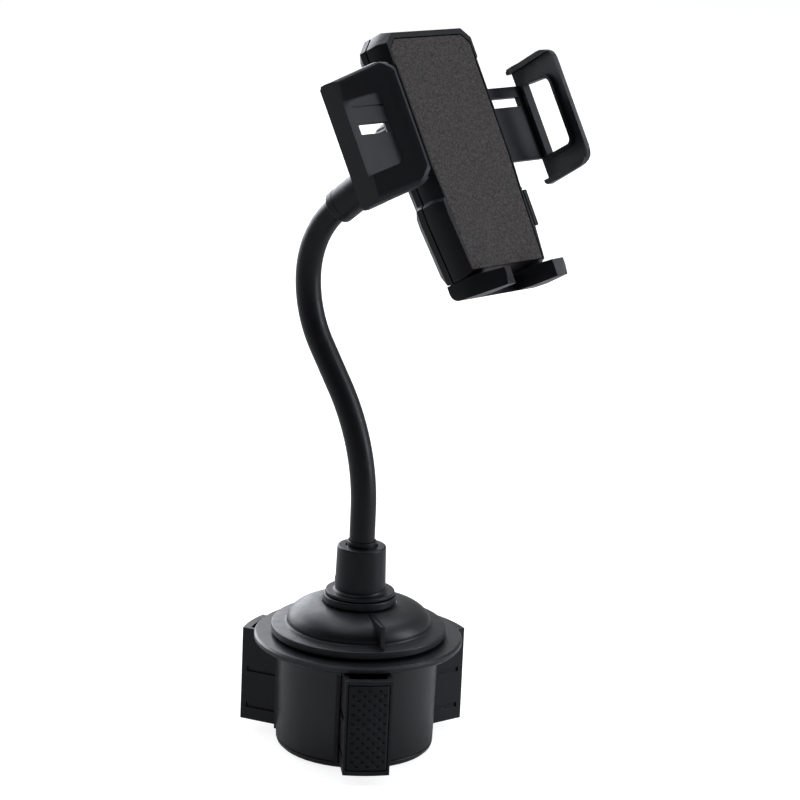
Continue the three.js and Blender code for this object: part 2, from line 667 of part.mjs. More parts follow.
function pinionGear() {
  const points = [];
  for (let k = 0; k < PINION_TEETH; k += 1) {
    const centre = Math.PI / 2 + (2 * Math.PI * k) / PINION_TEETH;
    for (const [radius, offset] of [[2.9, -0.13], [4.0, -0.045], [4.0, 0.045], [2.9, 0.13]]) {
      points.push([radius * Math.cos(centre + offset), radius * Math.sin(centre + offset)]);
    }
  }
  const gear = prism(polygon(points), -10.3, -5.3);
  const ratchet = [];
  const ratchetTeeth = 18;
  for (let k = 0; k < ratchetTeeth; k += 1) {
    const start = (2 * Math.PI * k) / ratchetTeeth;
    ratchet.push([4.6 * Math.cos(start), 4.6 * Math.sin(start)]);
    ratchet.push([5.4 * Math.cos(start), 5.4 * Math.sin(start)]);
  }
  const wheel = prism(polygon(ratchet), -13.6, -10.4);
  const hub = rod(2.7, -11, -10, 0, 0);
  const bore = rod(1.5, -20, 0, 0, 0);
  return joined([gear, wheel, hub]).subtract(bore).translate([0, PINION_Y, 0]);
}

function pinionPin() {
  return rod(1.2, BACK_Z + SHELL_T + GAP, -3.6, 0, PINION_Y, 12);
}

// A wound wire spring along x.
class Coil extends THREE.Curve {
  constructor(x0, x1, radius, turns) {
    super();
    Object.assign(this, { x0, x1, radius, turns });
  }

  getPoint(t, target = new THREE.Vector3()) {
    const angle = 2 * Math.PI * this.turns * t;
    const x = this.x0 + (this.x1 - this.x0) * t;
    return target.set(x, this.radius * Math.cos(angle), this.radius * Math.sin(angle));
  }
}

function spring(x0, x1, radius, turns, wire) {
  return sweep(new Coil(x0, x1, radius, turns), wire, turns * 7, 4);
}

function releaseButton() {
  const cap = block(24.6, 28.2, -33, -18.2, -8.4, -3.6);
  const lip = block(26.2, 28.2, -33, -18.2, -3.7, 0.3);
  const stem = block(16.5, 24.7, -28.2, -23.2, -8.2, -4.2);
  const foot = block(16.5, 18.5, -28.2, -23.2, -13.6, -4.2);
  return joined([cap, lip, stem, foot]);
}

function ratchetPawl() {
  const lever = polygon([
    [13.6, -27.5], [15.9, -27.5], [15.9, -14], [13.4, -10.5], [6.4, 6.6], [4.4, 6.1], [4.6, 5.0], [9.6, -12],
    [11.0, -16],
  ]);
  return prism(lever, -13.6, -11.2).subtract(rod(1.5, -20, 0, 12.6, -14, 12));
}

function pawlPin() {
  return rod(1.2, BACK_Z + SHELL_T + GAP, -10.9, 12.6, -14, 12);
}

function footSupport() {
  const prongPlan = polygon([[12.5, -12.4], [24.0, -12.4], [24.0, -2.5], [18.8, 12.6], [13.3, 11.1]]);
  const bridgePlan = polygon([[-13, -12.4], [13, -12.4], [13, -8.6], [-13, -8.6]]);
  const down = [new THREE.Vector3(1, 0, 0), new THREE.Vector3(0, 0, 1), new THREE.Vector3(0, -1, 0)];
  const right = prismAlong(prongPlan, 48.7, 57.2, ...down);
  const left = right.mirror([1, 0, 0]);
  const bridge = prismAlong(bridgePlan, 49.5, 57, ...down);
  const sideView = polygon([
    [-12.4, -48.7], [1, -48.7], [13.2, -50.2], [11.8, -56.8], [-1, -56.2],
    ...arcPoints(-8.4, -51.6, 4, -90, -180, 4),
  ]);
  const sideways = [new THREE.Vector3(0, 0, 1), new THREE.Vector3(0, 1, 0), new THREE.Vector3(-1, 0, 0)];
  const trim = prismAlong(sideView, -40, 40, ...sideways);
  const tongues = [-1, 1].map((side) => block(side * 17 - 3, side * 17 + 3, -50.5, -30, -8.2, -6.2));
  return joined([joined([right, left, bridge]).intersect(trim), ...tongues]);
}

// ---- assembly -----------------------------------------------------------------------------------
piece(group, 'cup_housing', cupHousing(), GLOSS());
piece(group, 'cup_bottom_plate', cupBottomPlate(), SATIN());
piece(group, 'centre_post', centrePost(), SATIN());
SCREW_ANGLES.forEach((angle, i) => {
  const mesh = piece(group, `bottom_screw_${i + 1}`, bottomScrew(), STEEL());
  const [x, y] = polar(SCREW_CIRCLE, angle);
  mesh.position.set(x, y, 0);
});
WING_ANGLES.forEach((angle, i) => {
  const bay = new THREE.Group();
  bay.rotation.z = THREE.MathUtils.degToRad(angle);
  group.add(bay);
  piece(bay, `wing_${i + 1}`, wing(), SATIN());
  piece(bay, `wing_pad_${i + 1}`, wingPad(), RUBBER());
  piece(bay, `wing_pin_${i + 1}`, wingPin(), STEEL());
});
piece(group, 'scroll_plate', scrollPlate(), NYLON());
piece(group, 'dial', dialDome(), SATIN());
piece(group, 'thrust_washer', thrustWasher(), NYLON());
piece(group, 'collar_ring', collarRing(), SATIN());
piece(group, 'neck_socket', neckSocket(), SATIN());
piece(group, 'lower_ferrule', lowerFerrule(), SATIN());

const spans = neckSpans();
spans.forEach(([from, to], i) => {
  const isFirst = i === 0;
  const isLast = i === spans.length - 1;
  piece(group, `gooseneck_link_${i + 1}`, neckLink(from, to, isFirst, isLast), RUBBER());
  piece(group, `gooseneck_core_${i + 1}`, neckCore(from, to, isFirst, isLast), STEEL());
});

const neckEnd = neckAt(NECK_LENGTH - NECK_PATH[NECK_PATH.length - 1].length);
const stem = new THREE.Group();
stem.position.copy(neckEnd.point);
stem.quaternion.setFromUnitVectors(new THREE.Vector3(0, 0, 1), neckEnd.direction);
group.add(stem);
piece(stem, 'upper_ferrule', upperFerrule(), SATIN());
piece(stem, 'ball_stud', ballStud(), SATIN());

const tilt = THREE.MathUtils.degToRad(CRADLE_TILT);
const roll = THREE.MathUtils.degToRad(CRADLE_ROLL);
const faceNormal = new THREE.Vector3(0, -Math.cos(tilt), Math.sin(tilt));
const upFace = new THREE.Vector3(0, Math.sin(tilt), Math.cos(tilt)).applyAxisAngle(faceNormal, roll);
const across = new THREE.Vector3(1, 0, 0).applyAxisAngle(faceNormal, roll);
const cradle = new THREE.Group();
cradle.quaternion.setFromRotationMatrix(new THREE.Matrix4().makeBasis(across, upFace, faceNormal));
const ballCentre = neckEnd.point.clone().addScaledVector(neckEnd.direction, BALL_DISTANCE);
cradle.position.copy(ballCentre).sub(BALL_LOCAL.clone().applyQuaternion(cradle.quaternion));
group.add(cradle);

const joint = new THREE.Group();
joint.position.copy(BALL_LOCAL);
cradle.add(joint);
piece(joint, 'liner_front', sphereRing(...LINER_R, 14, 56, 4), NYLON());
piece(joint, 'liner_rear', sphereRing(...LINER_R, 98, 121, 3), NYLON());
piece(joint, 'ball_socket', ballSocket(), SATIN());
piece(joint, 'locking_nut', lockingNut(), SATIN());

piece(cradle, 'back_shell', backShell(), SATIN());
piece(cradle, 'front_shell', frontShell(), SATIN());
piece(cradle, 'face_pad', facePad(), FOAM());
SHELL_SCREWS.forEach(([x, y], i) => {
  const mesh = piece(cradle, `shell_screw_${i + 1}`, shellScrew(), STEEL());
  mesh.position.set(x, y, 0);
});
piece(cradle, 'right_arm', armSolid(-7.6, -5.6, false, 17.6, 21.6, { wall: -7.6, rim: -9.2, lip: 54.5 }), SATIN());
piece(cradle, 'left_arm', armSolid(-10.0, -8.0, true, 13.3, 17.6, { wall: -11.4, rim: -11.8, lip: 55.0 }, LEFT_SLIDER_TOP)
  .mirror([1, 0, 0]), SATIN());
piece(cradle, 'pinion_gear', pinionGear(), NYLON());
piece(cradle, 'pinion_pin', pinionPin(), STEEL());
piece(cradle, 'ratchet_pawl', ratchetPawl(), NYLON());
piece(cradle, 'pawl_pin', pawlPin(), STEEL());
const armSpringR = piece(cradle, 'arm_spring_right', spring(2.5, 20.5, 1.5, 6, 0.35), STEEL());
armSpringR.position.set(0, 30.5, -6.6);
const armSpringL = piece(cradle, 'arm_spring_left', spring(-20.5, -2.5, 1.5, 6, 0.35), STEEL());
armSpringL.position.set(0, -9.5, -9.6);
piece(cradle, 'release_button', releaseButton(), SATIN());
const buttonSpring = piece(cradle, 'button_spring', spring(7.5, 14.6, 1.4, 4, 0.3), STEEL());
buttonSpring.position.set(0, -25.7, -6.2);
piece(cradle, 'foot_support', footSupport(), SATIN());

export default group;
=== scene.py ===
"""Looks for a phone mount that stands in a cup holder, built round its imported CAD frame. Metres, +Z up."""

import json
import math

import bpy
from mathutils import Matrix, Vector


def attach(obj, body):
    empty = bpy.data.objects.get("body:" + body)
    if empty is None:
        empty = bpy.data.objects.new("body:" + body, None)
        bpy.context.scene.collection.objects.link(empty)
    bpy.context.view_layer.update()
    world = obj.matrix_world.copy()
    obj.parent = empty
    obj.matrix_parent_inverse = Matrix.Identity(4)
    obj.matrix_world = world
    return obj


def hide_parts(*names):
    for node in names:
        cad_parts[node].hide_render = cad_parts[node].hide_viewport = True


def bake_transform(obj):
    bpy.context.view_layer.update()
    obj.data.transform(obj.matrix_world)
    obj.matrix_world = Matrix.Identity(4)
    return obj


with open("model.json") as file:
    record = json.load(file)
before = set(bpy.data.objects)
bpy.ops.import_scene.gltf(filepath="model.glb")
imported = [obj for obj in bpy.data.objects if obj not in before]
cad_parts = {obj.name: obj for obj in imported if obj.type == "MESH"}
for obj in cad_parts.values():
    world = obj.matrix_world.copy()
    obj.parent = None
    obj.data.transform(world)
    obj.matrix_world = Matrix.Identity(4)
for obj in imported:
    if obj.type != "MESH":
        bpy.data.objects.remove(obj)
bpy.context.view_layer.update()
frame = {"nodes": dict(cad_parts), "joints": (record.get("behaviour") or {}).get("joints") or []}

MM = 0.001

# ---- driving sizes, in mm -----------------------------------------------------------------------
NECK_R = 5.2
NECK_BORE_R = 4.7
NECK_FOOT_Z = 74
NECK_PATH = [("line", 26.6), ("bend", 88, 33.5), ("line", 18), ("bend", 50, -33.5), ("bend", 39, -50.8),
             ("line", 14)]
NECK_JOINTS = [34, 69, 102, 134]
WING_ANGLES = [-136, -16, 104]
WING_FACE_R = 48.9
PAD_PROUD = 0.4  # how far a wing's pad stands out of the wing's face
PAD_DEPTH = 1.4
PAD_HALF_WIDTH = 8.1
PAD_Z = (6.5, 42.1)
DIMPLE_HALF_WIDTH = 1.0
DIMPLE_HALF_HEIGHT = 0.6
DIMPLE_DEPTH = 0.55
DIMPLE_ROWS = 17
DIMPLE_ROW_PITCH = 2.0
DIMPLE_COLUMN_PITCH = 4.1
FIN_ANGLE = -125
FIN_HALF_THICKNESS = 0.9
BASE_SCREW_ANGLES = (-76, 44, 164)
BASE_SCREW_CIRCLE_R = 26
THREAD_PITCH = 0.9
THREAD_RISE = 0.3  # the height of each of a thread's two flanks
THREAD_DEPTH = 0.22
NUT_RIBS = 24
NUT_RIB_DEPTH = 0.75
BALL_R = 7.0
BALL_LOCAL = Vector((0, 10.3, -27))  # the ball's centre, in the cradle's own axes
BALL_DISTANCE = 42.7  # from the start of the neck's stem to the ball's centre
STEM_R = 3.0
SHELL_SCREWS = ((-17.6, 39.6), (17.6, 39.6), (-9, -42), (9, -42))
SHELL_SCREW_HEAD_Z = -16.3

# ---- mesh settings ------------------------------------------------------------------------------
WELD_MM = 0.02
FLAT_DEGREES = 0.6  # faces closer than this to one plane are joined into one
BEVEL_DEGREES = 32  # edges sharper than this are rounded
SMOOTH_DEGREES = 42  # edges sharper than this stay hard in the shading
NORMAL_WEIGHT = 80

# ---- places taken from the frame ----------------------------------------------------------------
JOINTS = {j["name"]: j for j in frame["joints"]}
ACROSS = Vector(JOINTS["ball_tilt"]["axis"])
UP_FACE = Vector(JOINTS["ball_pan"]["axis"])
OUT_OF_FACE = Vector(JOINTS["cradle_turn"]["axis"])
BALL = Vector(JOINTS["cradle_turn"]["pos_m"])


def axes_at(origin, x, y, z):
    """A matrix whose axes are x, y and z, in mm, with its origin at a point in metres."""
    turn = Matrix((x, y, z)).transposed().to_4x4()
    return Matrix.Translation(origin) @ turn @ Matrix.Scale(MM, 4)


AT_BALL = axes_at(BALL, ACROSS, UP_FACE, OUT_OF_FACE)
CRADLE = AT_BALL @ Matrix.Translation(-BALL_LOCAL)
ROW = Matrix.Scale(MM, 4)


def neck_at(distance):
    """A point of the neck's middle line in mm, and its direction."""
    y, z, lean, left = 0.0, float(NECK_FOOT_Z), 0.0, distance
    for leg in NECK_PATH:
        if leg[0] == "bend":
            radius, turn = leg[1], math.radians(leg[2])
            used = min(left, radius * abs(turn))
            side = math.copysign(1, turn)
            swept = side * used / radius
            y += side * radius * (math.cos(lean) - math.cos(lean + swept))
            z += side * radius * (math.sin(lean + swept) - math.sin(lean))
            lean += swept
        else:
            used = min(left, leg[1])
            y += used * math.sin(lean)
            z += used * math.cos(lean)
        left -= used
        if left <= 1e-9:
            break
    direction = Vector((0, math.sin(lean), math.cos(lean)))
    return Vector((0, y, z)) + direction * left, direction


NECK_LENGTH = sum(leg[1] if leg[0] == "line" else leg[1] * abs(math.radians(leg[2])) for leg in NECK_PATH)
NECK_END, NECK_END_DIRECTION = neck_at(NECK_LENGTH - NECK_PATH[-1][1])
STEM_X = Vector((1, 0, 0))
STEM = axes_at(NECK_END * MM, STEM_X, NECK_END_DIRECTION.cross(STEM_X), NECK_END_DIRECTION)

# ---- materials ----------------------------------------------------------------------------------


class Nodes:
    """Short ways to make and join a material's nodes."""

    def __init__(self, name):
        self.material = bpy.data.materials.new(name)
        self.material.use_nodes = True
        self.tree = self.material.node_tree
        self.shader = self.tree.nodes["Principled BSDF"]
        self.place = self.tree.nodes.new("ShaderNodeTexCoord").outputs["Object"]

    def link(self, out, socket):
        self.tree.links.new(out, socket)

    def set(self, **numbers):
        """Sets the shader's own sockets: an underscore in a name stands for a space."""
        for name, value in numbers.items():
            self.shader.inputs[name.replace("_", " ")].default_value = value

    def noise(self, scale, detail=3, roughness=0.55, stretch=None):
        """Noise over the piece's own coordinates, from 0 to 1."""
        node = self.tree.nodes.new("ShaderNodeTexNoise")
        node.inputs["Scale"].default_value = scale
        node.inputs["Detail"].default_value = detail
        node.inputs["Roughness"].default_value = roughness
        place = self.place
        if stretch:
            mapping = self.tree.nodes.new("ShaderNodeMapping")
            mapping.inputs["Scale"].default_value = stretch
            self.link(place, mapping.inputs["Vector"])
            place = mapping.outputs["Vector"]
        self.link(place, node.inputs["Vector"])
        return node.outputs["Fac"]

    def cells(self, scale):
        """The distance to the nearest of many scattered points."""
        node = self.tree.nodes.new("ShaderNodeTexVoronoi")
        node.inputs["Scale"].default_value = scale
        self.link(self.place, node.inputs["Vector"])
        return node.outputs["Distance"]

    def span(self, value, low, high, out_low=0, out_high=1):
        """Stretches the range from low to high over out_low to out_high, and clamps it there."""
        node = self.tree.nodes.new("ShaderNodeMapRange")
        for name, number in (("From Min", low), ("From Max", high), ("To Min", out_low), ("To Max", out_high)):
            node.inputs[name].default_value = number
        self.link(value, node.inputs["Value"])
        return node.outputs["Result"]

    def mix(self, factor, a, b):
        """Mixes two colours. The factor is a number or a socket, and so is each colour a tuple or a socket."""
        node = self.tree.nodes.new("ShaderNodeMix")
        node.data_type = "RGBA"
        if isinstance(factor, float):
            node.inputs["Factor"].default_value = factor
        else:
            self.link(factor, node.inputs["Factor"])
        for socket, value in ((node.inputs[6], a), (node.inputs[7], b)):
            if isinstance(value, tuple):
                socket.default_value = (*value, 1)
            else:
                self.link(value, socket)
        return node.outputs[2]

    def edges(self):
        """1 on worn convex edges and 0 elsewhere."""
        geometry = self.tree.nodes.new("ShaderNodeNewGeometry")
        return self.span(geometry.outputs["Pointiness"], 0.53, 0.62)

    def bump(self, height, depth, strength=1.0, under=None):
        """Relief from a height socket, depth in metres, on top of another relief if there is one."""
        node = self.tree.nodes.new("ShaderNodeBump")
        node.inputs["Distance"].default_value = depth
        node.inputs["Strength"].default_value = strength
        self.link(height, node.inputs["Height"])
        if under:
            self.link(under, node.inputs["Normal"])
        return node.outputs["Normal"]


def times(color, factor):
    return tuple(c * factor for c in color)


def plastic(name, color, worn, roughness, grain, grain_depth, specular):
    """Moulded plastic: a fine grain, faint flow mottling, slightly uneven gloss and rubbed edges.

    color and worn are linear colours, roughness is its lowest and highest value, grain is how fine the grain
    is, and grain_depth is in metres.
    """
    n = Nodes(name)
    mottle = n.noise(38, 4)
    cloud = n.noise(210, 2)
    body = n.mix(n.span(mottle, 0.35, 0.7), times(color, 0.86), times(color, 1.14))
    n.link(n.mix(n.edges(), body, worn), n.shader.inputs["Base Color"])
    n.link(n.span(cloud, 0.3, 0.7, *roughness), n.shader.inputs["Roughness"])
    n.set(Specular_IOR_Level=specular)
    n.link(n.bump(n.noise(grain, 3, 0.6), grain_depth), n.shader.inputs["Normal"])
    return n.material


def pad_material():
    """The soft pad: a grained skin with pale and dark speckle."""
    n = Nodes("pad_skin")
    grain = n.noise(1250, 3, 0.65)
    blotch = n.noise(90, 4, 0.6)
    fine = n.mix(n.span(grain, 0.38, 0.64), (0.003, 0.0024, 0.0022), (0.095, 0.081, 0.077))
    broad = n.mix(n.span(blotch, 0.35, 0.68), (0.02, 0.0175, 0.0165), (0.038, 0.033, 0.0315))
    n.link(n.mix(0.4, fine, broad), n.shader.inputs["Base Color"])
    n.link(n.span(blotch, 0.3, 0.7, 0.62, 0.78), n.shader.inputs["Roughness"])
    n.set(Specular_IOR_Level=0.35)
    pores = n.bump(n.cells(1100), 0.00012, 0.7)
    n.link(n.bump(grain, 0.00014, 0.9, pores), n.shader.inputs["Normal"])
    return n.material


def rubber(name, color, roughness, grain, grain_depth):
    """Matt rubber, faintly mottled. The arguments are as for plastic."""
    n = Nodes(name)
    mottle = n.noise(60, 3)
    shade = n.mix(n.span(mottle, 0.35, 0.68), times(color, 0.85), times(color, 1.2))
    n.link(shade, n.shader.inputs["Base Color"])
    n.link(n.span(n.noise(260, 2), 0.3, 0.7, *roughness), n.shader.inputs["Roughness"])
    n.set(Specular_IOR_Level=0.28)
    n.link(n.bump(n.noise(grain, 2), grain_depth), n.shader.inputs["Normal"])
    return n.material


def nylon():
    n = Nodes("natural_nylon")
    shade = n.mix(n.span(n.noise(70, 3), 0.35, 0.7), (0.52, 0.5, 0.43), (0.6, 0.58, 0.51))
    n.link(shade, n.shader.inputs["Base Color"])
    n.link(n.span(n.noise(300, 2), 0.3, 0.7, 0.38, 0.55), n.shader.inputs["Roughness"])
    n.set(Subsurface_Weight=0.1, Subsurface_Radius=(0.001, 0.001, 0.0008))
    n.link(n.bump(n.noise(1800, 3), 0.00002), n.shader.inputs["Normal"])
    return n.material


def steel():
    n = Nodes("bright_steel")
    n.set(Metallic=1.0)
    shade = n.mix(n.span(n.noise(150, 3), 0.35, 0.7), (0.42, 0.42, 0.43), (0.56, 0.56, 0.57))
    n.link(shade, n.shader.inputs["Base Color"])
    streaks = n.noise(900, 2, 0.5, stretch=(1, 1, 0.05))
    n.link(n.span(streaks, 0.3, 0.7, 0.24, 0.42), n.shader.inputs["Roughness"])
    n.link(n.bump(streaks, 0.00001, 0.6), n.shader.inputs["Normal"])
    return n.material


GLOSS = plastic("gloss_abs", (0.0055, 0.0057, 0.008), worn=(0.006, 0.006, 0.009), roughness=(0.33, 0.4),
                grain=900, grain_depth=0.000008, specular=0.5)
SATIN = plastic("satin_abs", (0.007, 0.0072, 0.0098), worn=(0.015, 0.015, 0.017), roughness=(0.34, 0.44),
                grain=2300, grain_depth=0.00002, specular=0.3)
ARM = plastic("textured_abs", (0.013, 0.0135, 0.0175), worn=(0.012, 0.012, 0.016), roughness=(0.4, 0.5),
              grain=1900, grain_depth=0.000012, specular=0.42)
DIAL = plastic("dial_abs", (0.0066, 0.0068, 0.0094), worn=(0.01, 0.01, 0.013), roughness=(0.38, 0.46),
               grain=2100, grain_depth=0.000025, specular=0.4)
SLEEVE = rubber("neck_sleeve", (0.0075, 0.0075, 0.0088), roughness=(0.36, 0.46), grain=1500,
                grain_depth=0.00002)
WING_RUBBER = rubber("wing_rubber", (0.011, 0.0114, 0.0142), roughness=(0.56, 0.68), grain=2400,
                     grain_depth=0.00004)
PAD = pad_material()
NYLON = nylon()
STEEL = steel()

# ---- mesh helpers -------------------------------------------------------------------------------


def soft_shading():
    """Geometry nodes that shade smooth and leave the sharper edges hard."""
    group = bpy.data.node_groups.new("soft_shading", "GeometryNodeTree")
    for side in ("INPUT", "OUTPUT"):
        group.interface.new_socket("Geometry", in_out=side, socket_type="NodeSocketGeometry")
    start = group.nodes.new("NodeGroupInput")
    end = group.nodes.new("NodeGroupOutput")
    faces = group.nodes.new("GeometryNodeSetShadeSmooth")
    edges = group.nodes.new("GeometryNodeSetShadeSmooth")
    edges.domain = "EDGE"
    angle = group.nodes.new("GeometryNodeInputMeshEdgeAngle")
    under = group.nodes.new("FunctionNodeCompare")
    under.data_type = "FLOAT"
    under.operation = "LESS_THAN"
    under.inputs[1].default_value = math.radians(SMOOTH_DEGREES)
    group.links.new(start.outputs[0], faces.inputs["Geometry"])
    group.links.new(faces.outputs[0], edges.inputs["Geometry"])
    group.links.new(angle.outputs[0], under.inputs[0])
    group.links.new(under.outputs[0], edges.inputs["Shade Smooth"])
    group.links.new(edges.outputs[0], end.inputs[0])
    return group


SOFT_SHADING = soft_shading()


def soften(obj, width=0.0, segments=2, flatten=False):
    """Rounds an object's hard edges by width, in mm, and shades it smooth between them.

    flatten first joins the triangles of each flat into one face, which is left out where a flat has slots.
    """
    weld = obj.modifiers.new("weld", "WELD")
    weld.merge_threshold = WELD_MM * MM
    if flatten:
        flat = obj.modifiers.new("one_face_per_flat", "DECIMATE")
        flat.decimate_type = "DISSOLVE"
        flat.angle_limit = math.radians(FLAT_DEGREES)
    if width:
        bevel = obj.modifiers.new("moulded_edges", "BEVEL")
        bevel.width = width * MM
        bevel.segments = segments
        bevel.limit_method = "ANGLE"
        bevel.angle_limit = math.radians(BEVEL_DEGREES)
        bevel.use_clamp_overlap = True
        bevel.miter_outer = "MITER_ARC"
    shade = obj.modifiers.new("soft_shading", "NODES")
    shade.node_group = SOFT_SHADING
    normals = obj.modifiers.new("even_normals", "WEIGHTED_NORMAL")
    normals.keep_sharp = True
    normals.weight = NORMAL_WEIGHT


def mesh_object(name, verts, faces, matrix=ROW):
    """A new object from points, which the matrix takes from mm into the row's metres."""
    mesh = bpy.data.meshes.new(name)
    mesh.from_pydata([matrix @ Vector(v) for v in verts], [], faces)
    mesh.validate()
    obj = bpy.data.objects.new(name, mesh)
    bpy.context.scene.collection.objects.link(obj)
    return obj


def paint(obj, material):
    obj.data.materials.clear()
    obj.data.materials.append(material)


def dress(obj, material, body=None, stands_for=()):
    """Gives a new piece its material and the body it rides on, and hides the CAD nodes it stands for."""
    paint(obj, material)
    if body:
        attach(obj, body)
    if stands_for:
        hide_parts(*stands_for)


def grid_faces(rows, columns, wrap_rows, wrap_columns):
    """Four-sided faces over a grid of points, row by row, closed round each way that wraps."""
    faces = []
    for i in range(rows if wrap_rows else rows - 1):
        for j in range(columns if wrap_columns else columns - 1):
            a, b = i * columns, ((i + 1) % rows) * columns
            c = (j + 1) % columns
            faces.append((a + j, a + c, b + c, b + j))
    return faces


def ring_solid(name, profile, matrix=ROW, segments=112, shape=None):
    """Turns a closed outline of (radius, height) points round Z.

    shape(angle, r, z), where given, says how far to push a point out.
    """
    verts = []
    for i in range(segments):
        angle = 2 * math.pi * i / segments
        for r, z in profile:
            radius = r + (shape(angle, r, z) if shape else 0)
            verts.append((radius * math.cos(angle), radius * math.sin(angle), z))
    return mesh_object(name, verts, grid_faces(segments, len(profile), True, True), matrix)


def turned_skin(name, profile, material, body, node, matrix=ROW, segments=112, shape=None):
    """A turned piece with its material and soft shading, in place of a CAD node."""
    obj = ring_solid(name, profile, matrix, segments, shape)
    dress(obj, material, body, [node])
    soften(obj)


def arc(cx, cy, radius, start, end, steps):
    """Points of an arc in a plane, from one angle to another in degrees."""
    angles = [math.radians(start + (end - start) * i / steps) for i in range(steps + 1)]
    return [(cx + radius * math.cos(a), cy + radius * math.sin(a)) for a in angles]


def through(points, steps=5):
    """A smooth open curve through the points: a Catmull-Rom spline."""
    p = [points[0], *points, points[-1]]
    out = []
    for i in range(1, len(p) - 2):
        near = p[i - 1:i + 3]
        for k in range(steps):
            t = k / steps
            weights = (-t + 2 * t**2 - t**3, 2 - 5 * t**2 + 3 * t**3, t + 4 * t**2 - 3 * t**3, t**3 - t**2)
            out.append(tuple(0.5 * sum(w * q[axis] for w, q in zip(weights, near)) for axis in (0, 1)))
    return [*out, points[-1]]


def plate(name, outline, low, high, matrix):
    """A plate between two heights, from a closed outline."""
    count = len(outline)
    verts = [(x, y, z) for z in (low, high) for x, y in outline]
    sides = [(i, (i + 1) % count, count + (i + 1) % count, count + i) for i in range(count)]
    caps = [tuple(reversed(range(count))), tuple(range(count, 2 * count))]
    return mesh_object(name, verts, sides + caps, matrix)


def block(name, low, high, matrix):
    """A box between two corners."""
    (x0, y0, z0), (x1, y1, z1) = low, high
    return plate(name, [(x0, y0), (x1, y0), (x1, y1), (x0, y1)], z0, z1, matrix)


def carve(obj, *cutters):
    """Cuts the cutters out of obj's own mesh, and removes them."""
    for cutter in cutters:
        cut = obj.modifiers.new("cut", "BOOLEAN")
        cut.operation = "DIFFERENCE"
        cut.solver = "EXACT"
        cut.object = cutter
    bpy.context.view_layer.update()
    seen = obj.evaluated_get(bpy.context.evaluated_depsgraph_get())
    mesh = bpy.data.meshes.new_from_object(seen)
    obj.modifiers.clear()
    obj.data = mesh
    for cutter in cutters:
        bpy.data.objects.remove(cutter)


def carry(name, material, width=0.0, segments=2, flatten=True):
    """Keeps a CAD node and gives it rounded edges and its material."""
    obj = frame["nodes"][name]
    paint(obj, material)
    soften(obj, width, segments, flatten)


# ---- cup base -----------------------------------------------------------------------------------


def build_base():
    carry("cup_housing", GLOSS, 0.25, flatten=False)
    carry("cup_bottom_plate", GLOSS, 0.25)
    carry("centre_post", SATIN, 0.2)
    collar = [(4.9, 61.2), *arc(14.3, 61.8, 0.6, -90, 0, 4), *arc(14.3, 63.9, 0.6, 0, 90, 4), (4.9, 64.5)]
    turned_skin("collar_skin", collar, SATIN, "base", "collar_ring")
    socket = [
        (4.9, 64.8), *arc(13.75, 65.2, 0.4, -90, 0, 3), *arc(13.75, 65.8, 0.4, 0, 90, 3), (11.2, 66.25),
        *reversed(arc(11.2, 67.25, 1.0, -180, -90, 4)), (10.35, 68.2), *arc(9.25, 84.4, 0.7, 0, 90, 5),
        (6.7, 85.1), (6.7, 73.2), (4.9, 73.2),
    ]
    turned_skin("socket_skin", socket, SATIN, "base", "neck_socket")
    ferrule = [(5.5, 75), (6.4, 75), (6.4, 84.6), (6.05, 84.9), *arc(5.75, 86.9, 0.3, 0, 90, 3), (5.5, 87.2)]
    turned_skin("lower_ferrule_skin", ferrule, SATIN, "base", "lower_ferrule")


def cross_head(name, radius, height, shaft, length, matrix, body, node):
    """A screw with a pan head that has a cross recess. Its head is at z 0 and its shaft points along +z."""
    edge = 0.45
    profile = [(0.02, 0.0), *arc(radius - edge, edge, edge, -90, 0, 4), (radius, height), (shaft, height)]
    for i in range(int((length - height) / THREAD_PITCH)):
        z = height + THREAD_RISE + THREAD_PITCH * i
        profile += [(shaft, z), (shaft + THREAD_DEPTH, z + THREAD_RISE), (shaft, z + 2 * THREAD_RISE)]
    profile += [(shaft * 0.5, length), (0.02, length)]
    screw = ring_solid(name, profile, matrix, 32)
    reach, half, above, deep = radius * 0.62, radius * 0.14, -0.3, height * 0.7
    carve(
        screw,
        block("cut_a", (-reach, -half, above), (reach, half, deep), matrix),
        block("cut_b", (-half, -reach, above), (half, reach, deep), matrix),
    )
    dress(screw, STEEL, body, [node])
    soften(screw)


def build_base_screws():
    for i, angle in enumerate(BASE_SCREW_ANGLES, 1):
        turn = Matrix.Rotation(math.radians(angle), 4, "Z")
        at = ROW @ turn @ Matrix.Translation((BASE_SCREW_CIRCLE_R, 0, 0.2))
        cross_head(f"base_screw_{i}", 2.6, 0.9, 1.05, 12.0, at, "base", f"bottom_screw_{i}")


def dimple(across, height):
    """How deep the wing pad is at a point: rows of recessed ovals, each row half a step from the next."""
    middle = (PAD_Z[0] + PAD_Z[1]) / 2
    row = round((height - middle) / DIMPLE_ROW_PITCH)
    if abs(row) > DIMPLE_ROWS // 2:
        return 0.0
    offset = 0.0 if row % 2 == 0 else DIMPLE_COLUMN_PITCH / 2
    outermost = 4.3 if row % 2 == 0 else 6.3
    x = round((across - offset) / DIMPLE_COLUMN_PITCH) * DIMPLE_COLUMN_PITCH + offset
    if abs(x) > outermost:
        return 0.0
    sideways = (across - x) / DIMPLE_HALF_WIDTH
    upwards = (height - middle - row * DIMPLE_ROW_PITCH) / DIMPLE_HALF_HEIGHT
    away = sideways**2 + upwards**2
    return DIMPLE_DEPTH * (1 - away) if away < 1 else 0.0


